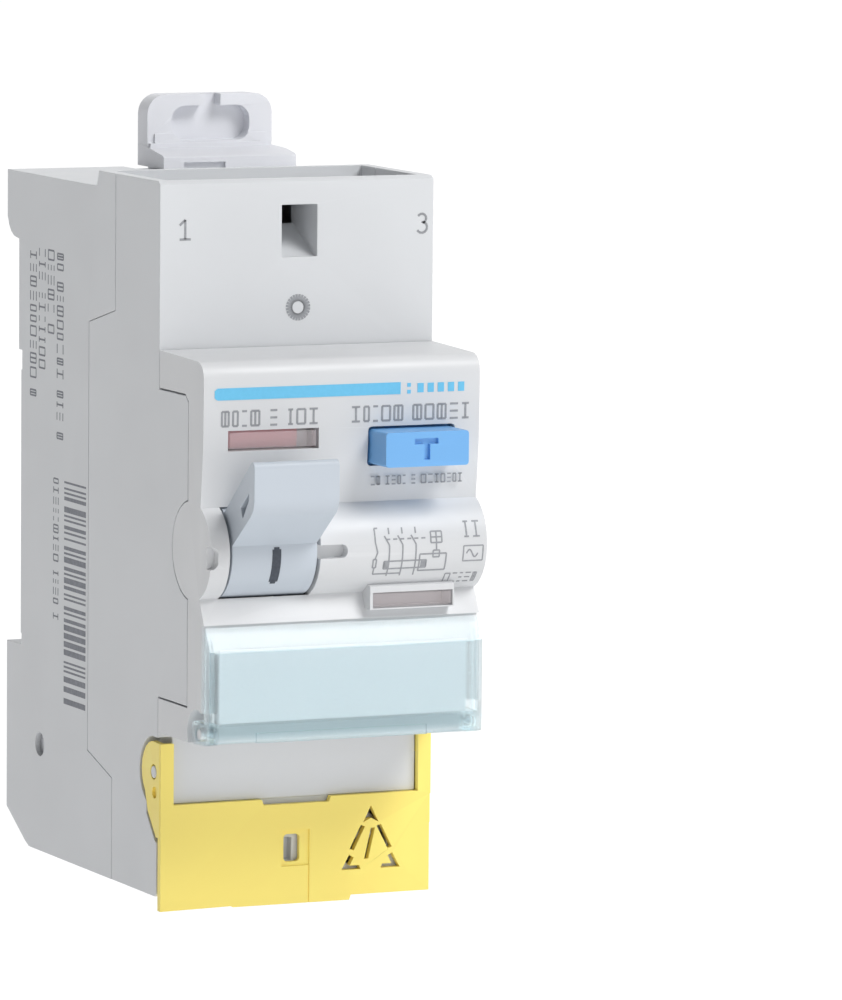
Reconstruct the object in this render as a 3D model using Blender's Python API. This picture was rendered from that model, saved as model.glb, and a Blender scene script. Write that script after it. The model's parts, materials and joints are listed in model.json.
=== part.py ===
"""Two-module residual current device that clips onto a 35 mm top-hat rail.

X is the width, -Y the front with the toggle and +Z the top. The origin is the centre of the
face that seats on the rail. Sizes below are in millimetres; scaled() turns them into metres.
"""

import math

import bmesh
import bpy
from mathutils import Matrix, Vector

MM = 0.001

# Casing
WIDTH = 35.0
SIDE = WIDTH / 2
WALL = 1.6
INNER = SIDE - WALL
SEAM = 0.05
TOP = 42.2
LEDGE = 40.35
BOTTOM = -42.2
SHOULDER = -44.0
REAR = 4.7
RAIL_HALF = 17.6
RIM = 1.5
TRAY_BACK = -26.3
SEAT_HALF = 16.2
RIVET = (-6.46, -29.06)

# Nose
NOSE_HALF = 22.5
CHEEK_TOP = 17.9
CHEEK_LOW = -18.3
CHEEK_FRONT = -52.8
LABEL_SEAT = -57.2

# Toggle
AXIS_Y = -54.1
DRUM_R = 5.6
BULGE_R = 5.85
OPENING_R = 5.9
OPENING = (-15.15, -3.7)
TOGGLE = (-14.75, -4.05)
AXLE_R = 1.25
LINK_PIN = (-51.8, 2.8)
LINK_PIN_R = 0.6

# Poles
POLES = {"left": -8.75, "right": 8.75}
CONTACT_FACE = -19.6
SCREW_Z = -36.5
STRIP = 1.4

# Hinged covers
FLAP_PIVOT = (-42.74, -27.43)
FLAP_FRONT = -44.84
FLAP_BACK = -43.95
STUB_R = 0.72
LABEL_PIVOT = (-55.9, -21.2)
FLAG_AXIS = (-49.2, 13.0)
TRIP_AXIS = (-46.5, -9.5)
STEM = (8.8, 11.8)
PLUNGER = (8.3, -12.6)

# Toroid
CORE = (0, -14)
CORE_R = 12.0
CORE_HOLE = 6.5

FINE = 40
COARSE = 20


def clear_scene():
    for old in list(bpy.data.objects):
        bpy.data.objects.remove(old, do_unlink=True)


def material(name, colour, roughness=0.5, metallic=0.0, alpha=1.0):
    made = bpy.data.materials.new(name)
    made.use_nodes = True
    shader = made.node_tree.nodes["Principled BSDF"]
    shader.inputs["Base Color"].default_value = (*colour, 1.0)
    shader.inputs["Roughness"].default_value = roughness
    shader.inputs["Metallic"].default_value = metallic
    shader.inputs["Alpha"].default_value = alpha
    made.diffuse_color = (*colour, alpha)
    return made


def make_materials():
    return {
        "shell": material("shell_grey", (0.70, 0.71, 0.72), 0.45),
        "cover": material("cover_grey", (0.72, 0.73, 0.74), 0.42),
        "clip": material("clip_grey", (0.62, 0.64, 0.66), 0.45),
        "toggle": material("toggle_grey", (0.55, 0.61, 0.67), 0.4),
        "blue": material("button_blue", (0.10, 0.36, 0.80), 0.4),
        "yellow": material("flap_yellow", (0.92, 0.76, 0.20), 0.45),
        "clear": material("clear_plastic", (0.70, 0.88, 0.92), 0.1, 0.0, 0.3),
        "card": material("card", (0.78, 0.84, 0.88), 0.7),
        "red": material("flag_red", (0.62, 0.22, 0.20), 0.5),
        "dark": material("dark_plastic", (0.05, 0.05, 0.06), 0.5),
        "white": material("white_plastic", (0.80, 0.80, 0.78), 0.5),
        "copper": material("copper", (0.80, 0.42, 0.26), 0.35, 1.0),
        "brass": material("brass", (0.75, 0.60, 0.30), 0.35, 1.0),
        "steel": material("zinc_steel", (0.62, 0.63, 0.65), 0.35, 1.0),
        "core": material("core_case", (0.10, 0.12, 0.16), 0.5),
        "winding": material("enamelled_copper", (0.55, 0.22, 0.08), 0.35, 0.8),
        "wire": material("wire_sleeve", (0.08, 0.10, 0.30), 0.5),
        "resistor": material("resistor_body", (0.62, 0.50, 0.34), 0.5),
    }


def scaled(points):
    return [Vector(point) * MM for point in points]


def placed(axis, along, across):
    """A point from its place along an axis and the pair across it, in X, Y, Z order."""
    first, second = across
    return {"X": (along, first, second), "Y": (first, along, second), "Z": (first, second, along)}[axis]


def finish(name, mesh, look):
    shape = bmesh.new()
    shape.from_mesh(mesh)
    bmesh.ops.recalc_face_normals(shape, faces=shape.faces)
    shape.to_mesh(mesh)
    shape.free()
    made = bpy.data.objects.new(name, mesh)
    bpy.context.collection.objects.link(made)
    if look:
        mesh.materials.append(look)
        mesh.shade_smooth()
        mesh.set_sharp_from_angle(angle=math.radians(30))
    else:
        made.hide_render = True
        made.display_type = "WIRE"
    return made


def prism(name, look, axis, outline, low, high):
    """A closed outline across an axis, extruded from low to high along it."""
    count = len(outline)
    points = [placed(axis, low, pair) for pair in outline]
    points += [placed(axis, high, pair) for pair in outline]
    sides = [(i, (i + 1) % count, count + (i + 1) % count, count + i) for i in range(count)]
    caps = [tuple(range(count)), tuple(range(count, 2 * count))]
    mesh = bpy.data.meshes.new(name)
    mesh.from_pydata(scaled(points), [], sides + caps)
    return finish(name, mesh, look)


def box(name, look, low, high):
    outline = [(low[1], low[2]), (high[1], low[2]), (high[1], high[2]), (low[1], high[2])]
    return prism(name, look, "X", outline, low[0], high[0])


def arc(centre, radius, start, end, steps):
    """Points along an arc, from one angle to another in degrees."""
    turns = [math.radians(start + (end - start) * i / steps) for i in range(steps + 1)]
    return [(centre[0] + radius * math.cos(t), centre[1] + radius * math.sin(t)) for t in turns]


def circle(centre, radius, count=COARSE):
    return arc(centre, radius, 0, 360, count)[:-1]


def disc(name, look, axis, centre, radius, low, high, count=COARSE):
    return prism(name, look, axis, circle(centre, radius, count), low, high)


def stadium(low, high, radius, steps=6):
    """A rectangle with rounded corners."""
    corners = [
        ((high[0] - radius, high[1] - radius), 0),
        ((low[0] + radius, high[1] - radius), 90),
        ((low[0] + radius, low[1] + radius), 180),
        ((high[0] - radius, low[1] + radius), 270),
    ]
    return [p for centre, turn in corners for p in arc(centre, radius, turn, turn + 90, steps)]


def ribbon(path, thickness):
    """The outline of a strip bent along a path, with mitred corners."""
    half = thickness / 2
    left, right = [], []
    for i, point in enumerate(path):
        here = Vector(point)
        before = (here - Vector(path[i - 1])).normalized() if i else None
        after = (Vector(path[i + 1]) - here).normalized() if i + 1 < len(path) else None
        heading = ((before or after) + (after or before)).normalized()
        reach = half / max(heading.dot(before or after), 0.5)
        side = Vector((-heading.y, heading.x)) * reach
        left.append(tuple(here + side))
        right.append(tuple(here - side))
    return left + right[::-1]


def smooth_path(points, steps):
    """A Catmull-Rom curve through the points."""
    ends = [2 * Vector(points[0]) - Vector(points[1]), 2 * Vector(points[-1]) - Vector(points[-2])]
    knots = [ends[0], *map(Vector, points), ends[1]]
    path = []
    for a, b, c, d in zip(knots, knots[1:], knots[2:], knots[3:]):
        for i in range(steps):
            t = i / steps
            path.append(0.5 * (2 * b + (c - a) * t + (2 * a - 5 * b + 4 * c - d) * t**2
                               + (3 * b - 3 * c + d - a) * t**3))
    return path + [knots[-2]]


def tube(name, look, path, radius, sides=8):
    """A round wire along a path, with flat ends."""
    rings = []
    normal = None
    for i, point in enumerate(path):
        heading = (path[min(i + 1, len(path) - 1)] - path[max(i - 1, 0)]).normalized()
        if normal is None:
            normal = heading.orthogonal().normalized()
        normal = (normal - heading * normal.dot(heading)).normalized()
        other = heading.cross(normal)
        turns = [2 * math.pi * k / sides for k in range(sides)]
        rings.append([point + radius * (math.cos(t) * normal + math.sin(t) * other) for t in turns])
    points = [p for ring in rings for p in ring]
    faces = [tuple(range(sides)), tuple(range(len(points) - sides, len(points)))]
    for i in range(len(rings) - 1):
        for k in range(sides):
            after = (k + 1) % sides
            faces.append((i * sides + k, i * sides + after, (i + 1) * sides + after, (i + 1) * sides + k))
    mesh = bpy.data.meshes.new(name)
    mesh.from_pydata(scaled(points), [], faces)
    return finish(name, mesh, look)


def coil(name, look, start, length, radius, wire, turns):
    """A compression spring along +Y."""
    steps = int(turns * 12)
    path = []
    for i in range(steps + 1):
        t = 2 * math.pi * turns * i / steps
        place = (radius * math.cos(t), length * i / steps, radius * math.sin(t))
        path.append(Vector(start) + Vector(place))
    return tube(name, look, path, wire, 6)


def boolean(target, other, operation):
    step = target.modifiers.new(other.name, "BOOLEAN")
    step.operation = operation
    step.object = other
    step.solver = "EXACT"
    other.hide_render = True
    other.display_type = "WIRE"


def cut(target, *cutters):
    for cutter in cutters:
        boolean(target, cutter, "DIFFERENCE")
    return target


def join(target, *others):
    for other in others:
        boolean(target, other, "UNION")
    return target


def pivot_at(made, point):
    """Moves an object's origin onto its joint's axis, leaving its shape where it is."""
    place = Vector(point) * MM
    made.data.transform(Matrix.Translation(-place))
    made.location = place
    return made


def both_sides(low, high):
    """The same stretch of X on the left and on the right."""
    return {"left": (-high, -low), "right": (low, high)}


# Casing shells


def rear_base(look):
    seam = -22.0 + SEAM
    outline = [(REAR, LEDGE), (REAR, 34.5), *arc((1.6, 35.3), 3.1, 345, 270, 4), (0.8, 32.1)]
    outline += [(0.8, 18.6), (0, RAIL_HALF), (0, -RAIL_HALF), (4.6, -RAIL_HALF), (4.6, -38.2)]
    outline += [(-1.7, -41.7), (-3.0, BOTTOM), (-29.8 + SEAM, BOTTOM), (-29.75 + SEAM, -30.0)]
    outline += [(seam, -27.7), (seam, 24.0), (-30.3 + SEAM, 26.0), (-30.3 + SEAM, TOP)]
    outline += [(-25.0, TOP), (-24.4, LEDGE)]
    base = prism("rear_base", look, "X", outline, -SIDE, SIDE)
    hollow = [(-31, 38.6), (-1.0, 38.6), (-1.0, 19.4), (-1.8, 18.4), (-1.8, -19.4), (2.9, -19.4)]
    hollow += [(2.9, -37.1), (-2.0, -39.9), (-3.4, -40.4), (-31, -40.4)]
    cut(base, prism("base_hollow", None, "X", hollow, -INNER, INNER))
    cut(base, box("base_tray", None, (-SIDE + RIM, -31, LEDGE), (SIDE - RIM, TRAY_BACK, TOP + 2)))
    cut(base, box("clip_channel", None, (0.2, 0.9, 31.0), (15.6, 3.7, TOP)))
    cut(base, box("clip_notch", None, (-2.2, 0.8, 39.7), (16.6, REAR + 1, TOP)))
    cut(base, box("upper_relief", None, (-SIDE - 1, -0.3, SEAT_HALF), (SIDE + 1, 0.8, 18.6)))
    cut(base, box("lower_relief", None, (-SIDE - 1, -0.3, -RAIL_HALF), (SIDE + 1, 1, -SEAT_HALF)))
    join(base, box("fixed_hook", None, (-6, 1.2, -18.4), (6, 4.6, -16.4)))
    cut(base, disc("rivet_hole", None, "X", RIVET, 1.48, -SIDE - 1, SIDE + 1))
    cut(base, *cable_entries("base_entry"))
    return base


def cable_entries(name):
    """Two square entries in the bottom, one under each clamp."""
    return [
        box(f"{name}_{side}", None, (x - 4, -31.8, BOTTOM - 1), (x + 4, -25.3, BOTTOM + 3))
        for side, x in POLES.items()
    ]


def main_housing(look):
    cheek = arc((AXIS_Y, 0), 6.0, 77, -77, 14)
    outline = [(-30.3 - SEAM, TOP), (-43.4, TOP), (SHOULDER, 41.8), (SHOULDER, CHEEK_TOP)]
    outline += [(-52.1, CHEEK_TOP), (CHEEK_FRONT, 17.2), *cheek, (CHEEK_FRONT, CHEEK_LOW)]
    outline += [(SHOULDER, CHEEK_LOW), (SHOULDER, -31.15), (-43.7, -31.2), (-43.7, -41.8)]
    outline += [(-43.3, BOTTOM), (-29.8 - SEAM, BOTTOM), (-29.75 - SEAM, -30.0 + SEAM)]
    outline += [(-22.0 - SEAM, -27.7 + SEAM), (-22.0 - SEAM, 24.0 - SEAM), (-30.3 - SEAM, 26.0 - SEAM)]
    housing = prism("main_housing", look, "X", outline, -SIDE, SIDE)
    front = SHOULDER + WALL
    hollow = [(-20, 38.6), (front, 38.6), (front, 21.0), (-60, 21.0), (-60, -21.0)]
    hollow += [(front + 0.3, -21.0), (front + 0.3, -40.4), (-20, -40.4)]
    cut(housing, prism("housing_hollow", None, "X", hollow, -INNER, INNER))
    cut(housing, box("housing_tray", None, (-SIDE + RIM, -42.5, LEDGE), (SIDE - RIM, -29, TOP + 2)))
    join(housing, *button_guide())
    join(housing, box("window_block", None, (-3.4, -43.4, 31.2), (3.9, -36.2, 39.6)))
    cut(housing, upper_window())
    for side, x in POLES.items():
        cut(housing, box(f"wire_entry_{side}", None, (x - 3.6, -40.6, 37), (x + 3.6, -34.0, TOP + 1)))
        cut(housing, disc(f"screw_access_{side}", None, "Y", (x, SCREW_Z), 3.5, -46, -40))
    cut(housing, box("catch_pocket", None, (-1.25, -45, -38.8), (-0.2, -42.5, -36.0)))
    cut(housing, *cable_entries("housing_entry"))
    for side, (low, high) in both_sides(14.2, INNER + 0.4).items():
        boss = disc(f"pivot_boss_{side}", None, "X", FLAP_PIVOT, 5.2, low, high)
        trim = box(f"boss_trim_{side}", None, (low - 1, -50, -34), (high + 1, -43.4, -20))
        join(housing, cut(boss, trim))
    for side, (low, high) in both_sides(15.62, SIDE + 1).items():
        cut(housing, prism(f"arm_pocket_{side}", None, "X", arm_pocket(), low, high))
    for side, (low, high) in both_sides(14.8, SIDE).items():
        join(housing, disc(f"pivot_stub_{side}", None, "X", FLAP_PIVOT, STUB_R, low, high, 16))
    return housing


def button_guide():
    """A plate inside the right cheek that carries the test button's stem and spring."""
    plate = box("guide_plate", None, (4.0, -48.5, 8.6), (INNER + 0.5, -47.3, 15.0))
    return [cut(plate, disc("stem_hole", None, "Y", STEM, 1.6, -50, -46))]


def upper_window():
    """The small window in the shoulder: a sloping sill that runs back to a square hole."""
    outline = [(-45, 39.1), (-35, 39.1), (-35, 36.3), (-36.9, 36.3), (-43.2, 32.95), (-45, 32.95)]
    return prism("upper_window", None, "X", outline, -2.0, 2.5)


def arm_pocket():
    """The room that the flap's ear and arm need as they turn about the pivot."""
    swing = arc(FLAP_PIVOT, 4.25, 100, -60, 12)
    return [(-46, -23.2), (-43.6, -23.2), *swing, (-40.6, -32.5), (-43.3, -35.6), (-46, -36.0)]


def front_cover(look):
    bulge = arc((AXIS_Y, 0), BULGE_R, 116, 247, 18)
    outline = [(-44.2, 22.5), (-55.5, 22.2), *arc((-55.5, 20.2), 2.0, 105, 180, 4)]
    outline += [(-57.35, 12.0), *bulge, (-57.9, -8.3), (LABEL_SEAT, -8.35)]
    outline += [*arc(LABEL_PIVOT, 1.3, 180, 270, 4), (-44.2, -NOSE_HALF)]
    cover = prism("front_cover", look, "X", outline, -SIDE, SIDE)
    inside = arc((AXIS_Y, 0), 4.45, 108, 252, 14)
    hollow = [(-43, 21.0), (-55.2, 20.8), (-56.1, 20.0), (-56.0, 11.5), (-55.5, 5.4), *inside]
    hollow += [(-55.5, -6.2), (-55.9, -9.0), (-55.8, -20.6), (-55.2, -21.0), (-43, -21.0)]
    cut(cover, prism("cover_hollow", None, "X", hollow, -INNER, INNER))
    cheek = [(-40, CHEEK_TOP + 0.2), (-52.0, CHEEK_TOP + 0.2), (CHEEK_FRONT - 0.2, 17.3)]
    cheek += [(CHEEK_FRONT - 0.2, CHEEK_LOW - 0.2), (-40, CHEEK_LOW - 0.2)]
    for side, (low, high) in both_sides(INNER - 0.3, SIDE + 1).items():
        cut(cover, prism(f"cheek_room_{side}", None, "X", cheek, low, high))
    for side, (low, high) in both_sides(INNER + 0.2, SIDE).items():
        join(cover, disc(f"side_disc_{side}", None, "X", (AXIS_Y, 0), BULGE_R - 0.05, low, high, FINE))
    join(cover, *cover_ribs())
    cut(cover, *cover_openings())
    label_hinge(cover)
    return cover


def cover_ribs():
    """Inner ribs for the axle and for the position flag, the fault window's hood and a backing."""
    ribs = [disc("axle_rib", None, "X", (AXIS_Y, 0), 5.0, OPENING[1], -2.35)]
    ribs += [disc("axle_socket", None, "X", (AXIS_Y, 0), 5.0, -INNER - 0.6, OPENING[0])]
    ribs += [box("pocket_back", None, (-3.0, -58.9, -2.6), (2.4, -56.4, 2.6))]
    hood = [(-56.4, -4.0), (-58.8, -4.5), (-58.8, -7.25), (-56.4, -7.25)]
    ribs.append(prism("fault_hood", None, "X", hood, 3.1, 13.85))
    for name, low, high in (("flag_rib_left", -15.6, -14.7), ("flag_rib_right", -2.7, -1.7)):
        rib = box(name, None, (low, -56.5, 11.3), (high, -47.6, 14.7))
        ribs.append(cut(rib, disc(f"{name}_hole", None, "X", FLAG_AXIS, 0.95, low - 1, high + 1, 16)))
    return ribs


def cover_openings():
    drum = disc("toggle_opening", None, "X", (AXIS_Y, 0), OPENING_R, *OPENING, FINE)
    tab = [(-62, -5), (-57, -5), (-57, 5.8), (-62, 5.8)]
    lever = prism("lever_opening", None, "X", tab, *OPENING)
    axle = disc("axle_bore", None, "X", (AXIS_Y, 0), AXLE_R + 0.2, -16.9, -2.0)
    flag = box("flag_opening", None, (-14.4, -60, 11.8), (-2.95, -55, 14.2))
    button = prism("button_opening", None, "Y", stadium((3.3, 9.45), (14.4, 14.1), 0.5), -60, -55)
    fault = box("fault_opening", None, (3.45, -60, -7.1), (13.65, -54, -5.25))
    right = prism("lock_groove", None, "Y", stadium((-4.5, -0.85), (-0.3, 0.75), 0.7), -62, -58.6)
    left = prism("lock_notch", None, "Y", stadium((-18.5, -1.6), (-16.6, 1.05), 0.8), -62, -58.6)
    return [drum, lever, axle, flag, button, fault, right, left]


def label_hinge(cover):
    """Pockets for the label cover's two lugs, each with a stub pin on an inner boss."""
    for side, (low, high) in both_sides(14.0, INNER + 0.3).items():
        join(cover, box(f"lug_boss_{side}", None, (low, -56.6, -22.4), (high, -52.2, -18.6)))
    for side, (low, high) in both_sides(15.55, SIDE + 1).items():
        room = [*arc(LABEL_PIVOT, 2.9, 130, -60, 12), (-54.5, -25), (-60, -25), (-60, -18.7)]
        cut(cover, prism(f"lug_room_{side}", None, "X", room, low, high))
    for side, (low, high) in both_sides(14.8, 17.2).items():
        join(cover, disc(f"lug_pin_{side}", None, "X", LABEL_PIVOT, 0.6, low, high, 16))


def housing_rivet(look):
    rivet = disc("housing_rivet", look, "X", RIVET, 1.0, -16.9, 16.9)
    heads = [
        disc(f"rivet_head_{side}", None, "X", RIVET, 1.25, low, high)
        for side, (low, high) in both_sides(16.0, 16.9).items()
    ]
    return join(rivet, *heads)


def din_clip(look):
    """The sprung slider whose jaw holds the rail's upper flange, with its pull tab above."""
    clip = box("din_clip", look, (0.5, 1.2, 16.4), (15.3, 3.4, 44.5))
    tab = prism("clip_tab", None, "Y", stadium((-0.4, 41.0), (16.2, 49.3), 2.4), 1.5, 4.6)
    foot = [(4.6, 40.5), (4.6, 43.2), (1.6, 42.9), (-3.5, 42.15), (-3.8, 41.9), (-3.8, 40.5)]
    base = prism("clip_foot", None, "X", foot, -0.4, 17.2)
    bevelled = [(16.1, 2.0), (17.2, -0.6), (18, -0.6), (18, 5), (16.1, 5)]
    corner = prism("foot_corner", None, "Z", bevelled, 40, 46)
    join(clip, tab, cut(base, corner), box("clip_ridge", None, (-0.2, 0.95, 42.6), (14.5, 1.6, 43.35)))
    pocket = prism("tab_pocket", None, "Y", stadium((2.8, 43.6), (13.2, 47.9), 1.8), 0, 3.3)
    notch = box("tab_notch", None, (7.3, 0, 47), (9.3, 3.3, 50))
    slot = box("foot_slot", None, (2.3, -5, 40), (7.8, -3.2, 41.3))
    return cut(clip, pocket, notch, slot)


# Hinged and clear covers


def terminal_flap(look):
    """The yellow flap over the clamp screws, with an ear and an arm at each side."""
    plate = [(-17.4, -31.2), (-17.4, -43.8), (-8.1, -43.65), (-8.1, -43.8), (6.9, -43.8), (7.1, -43.2)]
    plate += [(17.25, -43.2), (17.25, -31.2)]
    plate += [(4.45, -31.2), (4.2, -31.85), (-4.2, -31.85), (-4.45, -31.2)]
    flap = prism("terminal_flap", look, "Y", plate, FLAP_FRONT, FLAP_BACK)
    ear = [*arc(FLAP_PIVOT, 3.65, 82, -45, 8), (-41.0, -32.3), (-43.5, -35.1), (FLAP_FRONT + 0.3, -35.1)]
    ear.append((FLAP_FRONT + 0.3, -23.9))
    for side, (low, high) in both_sides(16.75, 17.45).items():
        join(flap, prism(f"flap_ear_{side}", None, "X", ear, low, high))
    for side, (low, high) in both_sides(15.75, 17.4).items():
        join(flap, box(f"flap_arm_{side}", None, (low, FLAP_FRONT, -31.6), (high, FLAP_BACK, -23.9)))
    cut(flap, disc("flap_bore", None, "X", FLAP_PIVOT, STUB_R + 0.2, -20, 20))
    for side, (low, high) in both_sides(17.1, 18.0).items():
        cut(flap, disc(f"flap_dimple_{side}", None, "X", (-43.0, -29.84), 0.72, low, high, 12))
    cut(flap, prism("flap_slot", None, "Y", stadium((-1.55, -38.8), (0.5, -35.5), 0.5), -46, -42))
    cut(flap, box("flap_recess", None, (-1.9, -45.2, -39.3), (1.7, FLAP_FRONT + 0.25, -35.0)))
    cut(flap, box("flap_groove", None, (1.5, -45.2, -45), (1.7, FLAP_FRONT + 0.15, -39.0)))
    return cut(flap, *stencil())


def stencil():
    """Plain openings pierced through the flap: a triangle's corners and sides round a slanted bar."""
    centre, top, foot, half = 9.65, -32.6, -40.2, 3.8
    corner = [(half, foot), (half - 2.5, foot), (half - 2.3, foot + 0.5), (half - 1.1, foot + 0.5)]
    corner += [(half - 1.6, foot + 1.45), (half - 1.0, foot + 1.8)]
    side = [(1.3, top - 2.3), (2.75, top - 5.1), (2.2, top - 5.3), (0.75, top - 2.5)]
    apex = [(0, top), (1.0, top - 2.0), (0, top - 1.5), (-1.0, top - 2.0)]
    bar = [(0.55, top - 2.7), (0.0, top - 2.7), (-0.85, top - 6.4), (-0.3, top - 6.4)]
    openings = [apex, bar]
    for shape in (corner, side):
        openings += [shape, [(-x, z) for x, z in shape]]
    return [
        prism(f"stencil_{i}", None, "Y", [(centre + x, z) for x, z in shape], -46, -42)
        for i, shape in enumerate(openings)
    ]


def label_cover(look):
    """The clear hinged cover over the circuit label."""
    front = -59.3
    outer = [(-57.7, -8.6), (front, -11.3), (front, -21.9), (-59.0, -22.1), (-57.5, -22.1)]
    outer += [(-57.5, -20.05), (-58.6, -20.05), (-58.6, -11.5), (-57.5, -9.2)]
    cover = prism("label_cover", look, "X", outer, -17.3, 17.3)
    end = [(-57.5, -9.4), (-58.8, -11.5), (-58.8, -20.3), (-57.5, -20.3)]
    for side, (low, high) in both_sides(16.5, 17.3).items():
        join(cover, prism(f"cover_end_{side}", None, "X", end, low, high))
    lug = [(-58.0, -19.9), *arc(LABEL_PIVOT, 2.0, 45, -40, 6), (-55.0, -22.5), (-58.0, -22.3)]
    for side, (low, high) in both_sides(15.85, 17.3).items():
        join(cover, prism(f"cover_lug_{side}", None, "X", lug, low, high))
    join(cover, box("cover_lip", None, (-11.5, -59.6, -22.05), (10.1, -59.1, -20.9)))
    return cut(cover, disc("lug_bore", None, "X", LABEL_PIVOT, 0.85, -20, 20, 16))


def toggle(look):
    """The switch lever on its drum, with a gap for the drive link."""
    body = disc("toggle", look, "X", (AXIS_Y, 0), DRUM_R, *TOGGLE, FINE)
    lever = [(-57.0, 4.6), (-65.0, 11.3), *arc((-65.3, 10.7), 0.7, 80, 180, 3)]
    lever += [*arc((-63.2, 7.2), 2.8, 180, 233, 6), (-59.4, 0.9), (-55.0, 0.5)]
    join(body, prism("lever", None, "X", lever, *TOGGLE))
    seal = [(-64.4, 7.7), (-64.3, 6.8), (-62.6, 4.6), (-62.0, 5.8)]
    cut(body, prism("seal_hole", None, "X", seal, -20, 0))
    cut(body, disc("drum_bore", None, "X", (AXIS_Y, 0), AXLE_R + 0.25, -20, 0))
    gap = [*arc((AXIS_Y, 0), 2.0, 73, -63, 10), *arc((AXIS_Y, 0), 8.0, -63, 73, 10)]
    cut(body, prism("link_gap", None, "X", gap, -10.7, -8.3))
    rise = math.atan2(LINK_PIN[1], LINK_PIN[0] - AXIS_Y)
    slot = stadium((2.0, -0.85), (4.5, 0.85), 0.8, 3)
    turned = [
        (AXIS_Y + u * math.cos(rise) - v * math.sin(rise), u * math.sin(rise) + v * math.cos(rise))
        for u, v in slot
    ]
    return cut(body, prism("pin_slot", None, "X", turned, -12.3, -6.7))


def test_button(look):
    """The test button: cap, retaining flange and stem."""
    cap = prism("test_button", look, "Y", stadium((3.55, 9.72), (14.1, 13.78), 0.4), -62.0, -55.6)
    flange = box("button_flange", None, (2.7, -55.6, 8.9), (15.0, -54.5, 14.9))
    stem = disc("button_stem", None, "Y", STEM, 1.3, -54.8, -46.9)
    join(cap, flange, stem)
    bar = box("t_bar", None, (7.2, -63, 12.33), (10.2, -61.5, 13.0))
    post = box("t_post", None, (8.4, -63, 10.5), (9.15, -61.5, 12.4))
    return cut(cap, bar, post)


def position_flag(look):
    """The two-colour vane behind the upper window, on its own cross pin."""
    vane = [*arc(FLAG_AXIS, 5.3, 193, 127, 10), *arc(FLAG_AXIS, 4.5, 127, 193, 10)]
    flag = prism("position_flag", look, "X", vane, -14.2, -3.2)
    web = [*arc(FLAG_AXIS, 5.0, 193, 127, 8), *arc(FLAG_AXIS, 1.0, 100, -130, 6)]
    join(flag, prism("flag_web", None, "X", web, -14.2, -13.2))
    return join(flag, disc("flag_pin", None, "X", FLAG_AXIS, 0.75, -15.4, -1.9, 16))


def position_window(look):
    lens = box("position_window", look, (-14.15, -57.2, 12.05), (-3.2, -55.2, 13.95))
    return join(lens, box("window_flange", None, (-14.5, -55.7, 11.2), (-2.9, -54.9, 14.8)))


def fault_window(look):
    return box("fault_window", look, (3.55, -58.6, -7.0), (13.55, -57.4, -5.35))


def fault_flag(look):
    """The flag that rises behind the lower window after a trip."""
    flag = box("fault_flag", look, (3.4, -55.2, -13.4), (14.0, -54.3, -5.0))
    return join(flag, box("flag_foot", None, (6.0, -55.2, -13.4), (12.0, -53.4, -12.6)))


# Switching mechanism


def toggle_axle(look):
    return disc("toggle_axle", look, "X", (AXIS_Y, 0), AXLE_R, -16.7, -2.5)


def drive_link(look):
    level = LINK_PIN[1]
    bar = [*arc(LINK_PIN, 0.8, 90, 270, 6), (-32.3, level - 0.8), (-32.3, level + 0.8)]
    link = prism("drive_link", look, "X", bar, -10.2, -8.8)
    return join(link, disc("link_pin", None, "X", LINK_PIN, LINK_PIN_R, -12.0, -7.0, 12))


def contact_carrier(look):
    """The moulded bar that both moving contacts ride on."""
    carrier = box("contact_carrier", look, (-14.2, -29.5, -3.2), (14.2, -26.8, 12.8))
    block = box("link_block", None, (-12.0, -34.0, 0.6), (-7.0, -29.2, 5.0))
    join(carrier, block)
    cut(carrier, box("link_slot", None, (-10.5, -36.0, 1.7), (-8.5, -32.0, 3.9)))
    for side, x in POLES.items():
        cut(carrier, disc(f"spring_seat_{side}", None, "Y", (x, 5), 2.9, -27.8, -25))
    return carrier


def moving_contact(side, x, look):
    bridge = box(f"moving_contact_{side}", look, (x - 3, -21.4, -3.2), (x + 3, -20.2, 13.2))
    for name, z in (("low", -1.0), ("high", 11.0)):
        join(bridge, disc(f"tip_{side}_{name}", None, "Y", (x, z), 1.8, -20.6, CONTACT_FACE - 0.3, 12))
    return bridge


def contact_spring(side, x, look):
    return coil(f"contact_spring_{side}", look, (x, -27.2, 5.0), 5.2, 2.1, 0.32, 4)


def mechanism_frame(look):
    """The plate behind the relay, with a rail each side that the carrier slides over."""
    frame = box("mechanism_frame", look, (-15.4, -27.6, -27.0), (15.4, -26.2, -5.2))
    for side, (low, high) in both_sides(13.9, 15.4).items():
        join(frame, box(f"frame_rail_{side}", None, (low, -40.0, -18.0), (high, -26.4, -5.2)))
    return cut(frame, box("frame_pass", None, (-5.2, -29, -18.0), (5.2, -25, -10.0)))


def relay_body(look):
    body = box("relay_body", look, (3.2, -41.5, -17.6), (13.4, -30.0, -8.2))
    return cut(body, disc("relay_bore", None, "Y", PLUNGER, 1.3, -43, -38))


def relay_plunger(look):
    return disc("relay_plunger", look, "Y", PLUNGER, 1.0, -45.1, -38.6, 16)


def trip_lever(look):
    """The bell crank from the relay's plunger to the fault flag."""
    y, z = TRIP_AXIS
    tail = [(y - 0.8, z), (y + 1.0, z), (y + 1.2, z - 4.6), (y - 0.4, z - 4.6)]
    lever = prism("trip_lever", look, "X", tail, 6.8, 9.8)
    arm = [(y, z + 0.9), (y, z - 1.0), (-51.0, -12.9), (-52.6, -14.6), (-54.2, -14.6), (-54.2, -13.7)]
    arm += [(-52.9, -13.7), (-51.2, -11.8)]
    join(lever, prism("trip_arm", None, "X", arm, 6.8, 9.8))
    return join(lever, disc("trip_pin", None, "X", TRIP_AXIS, 1.1, 4.0, 12.6, 16))


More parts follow.
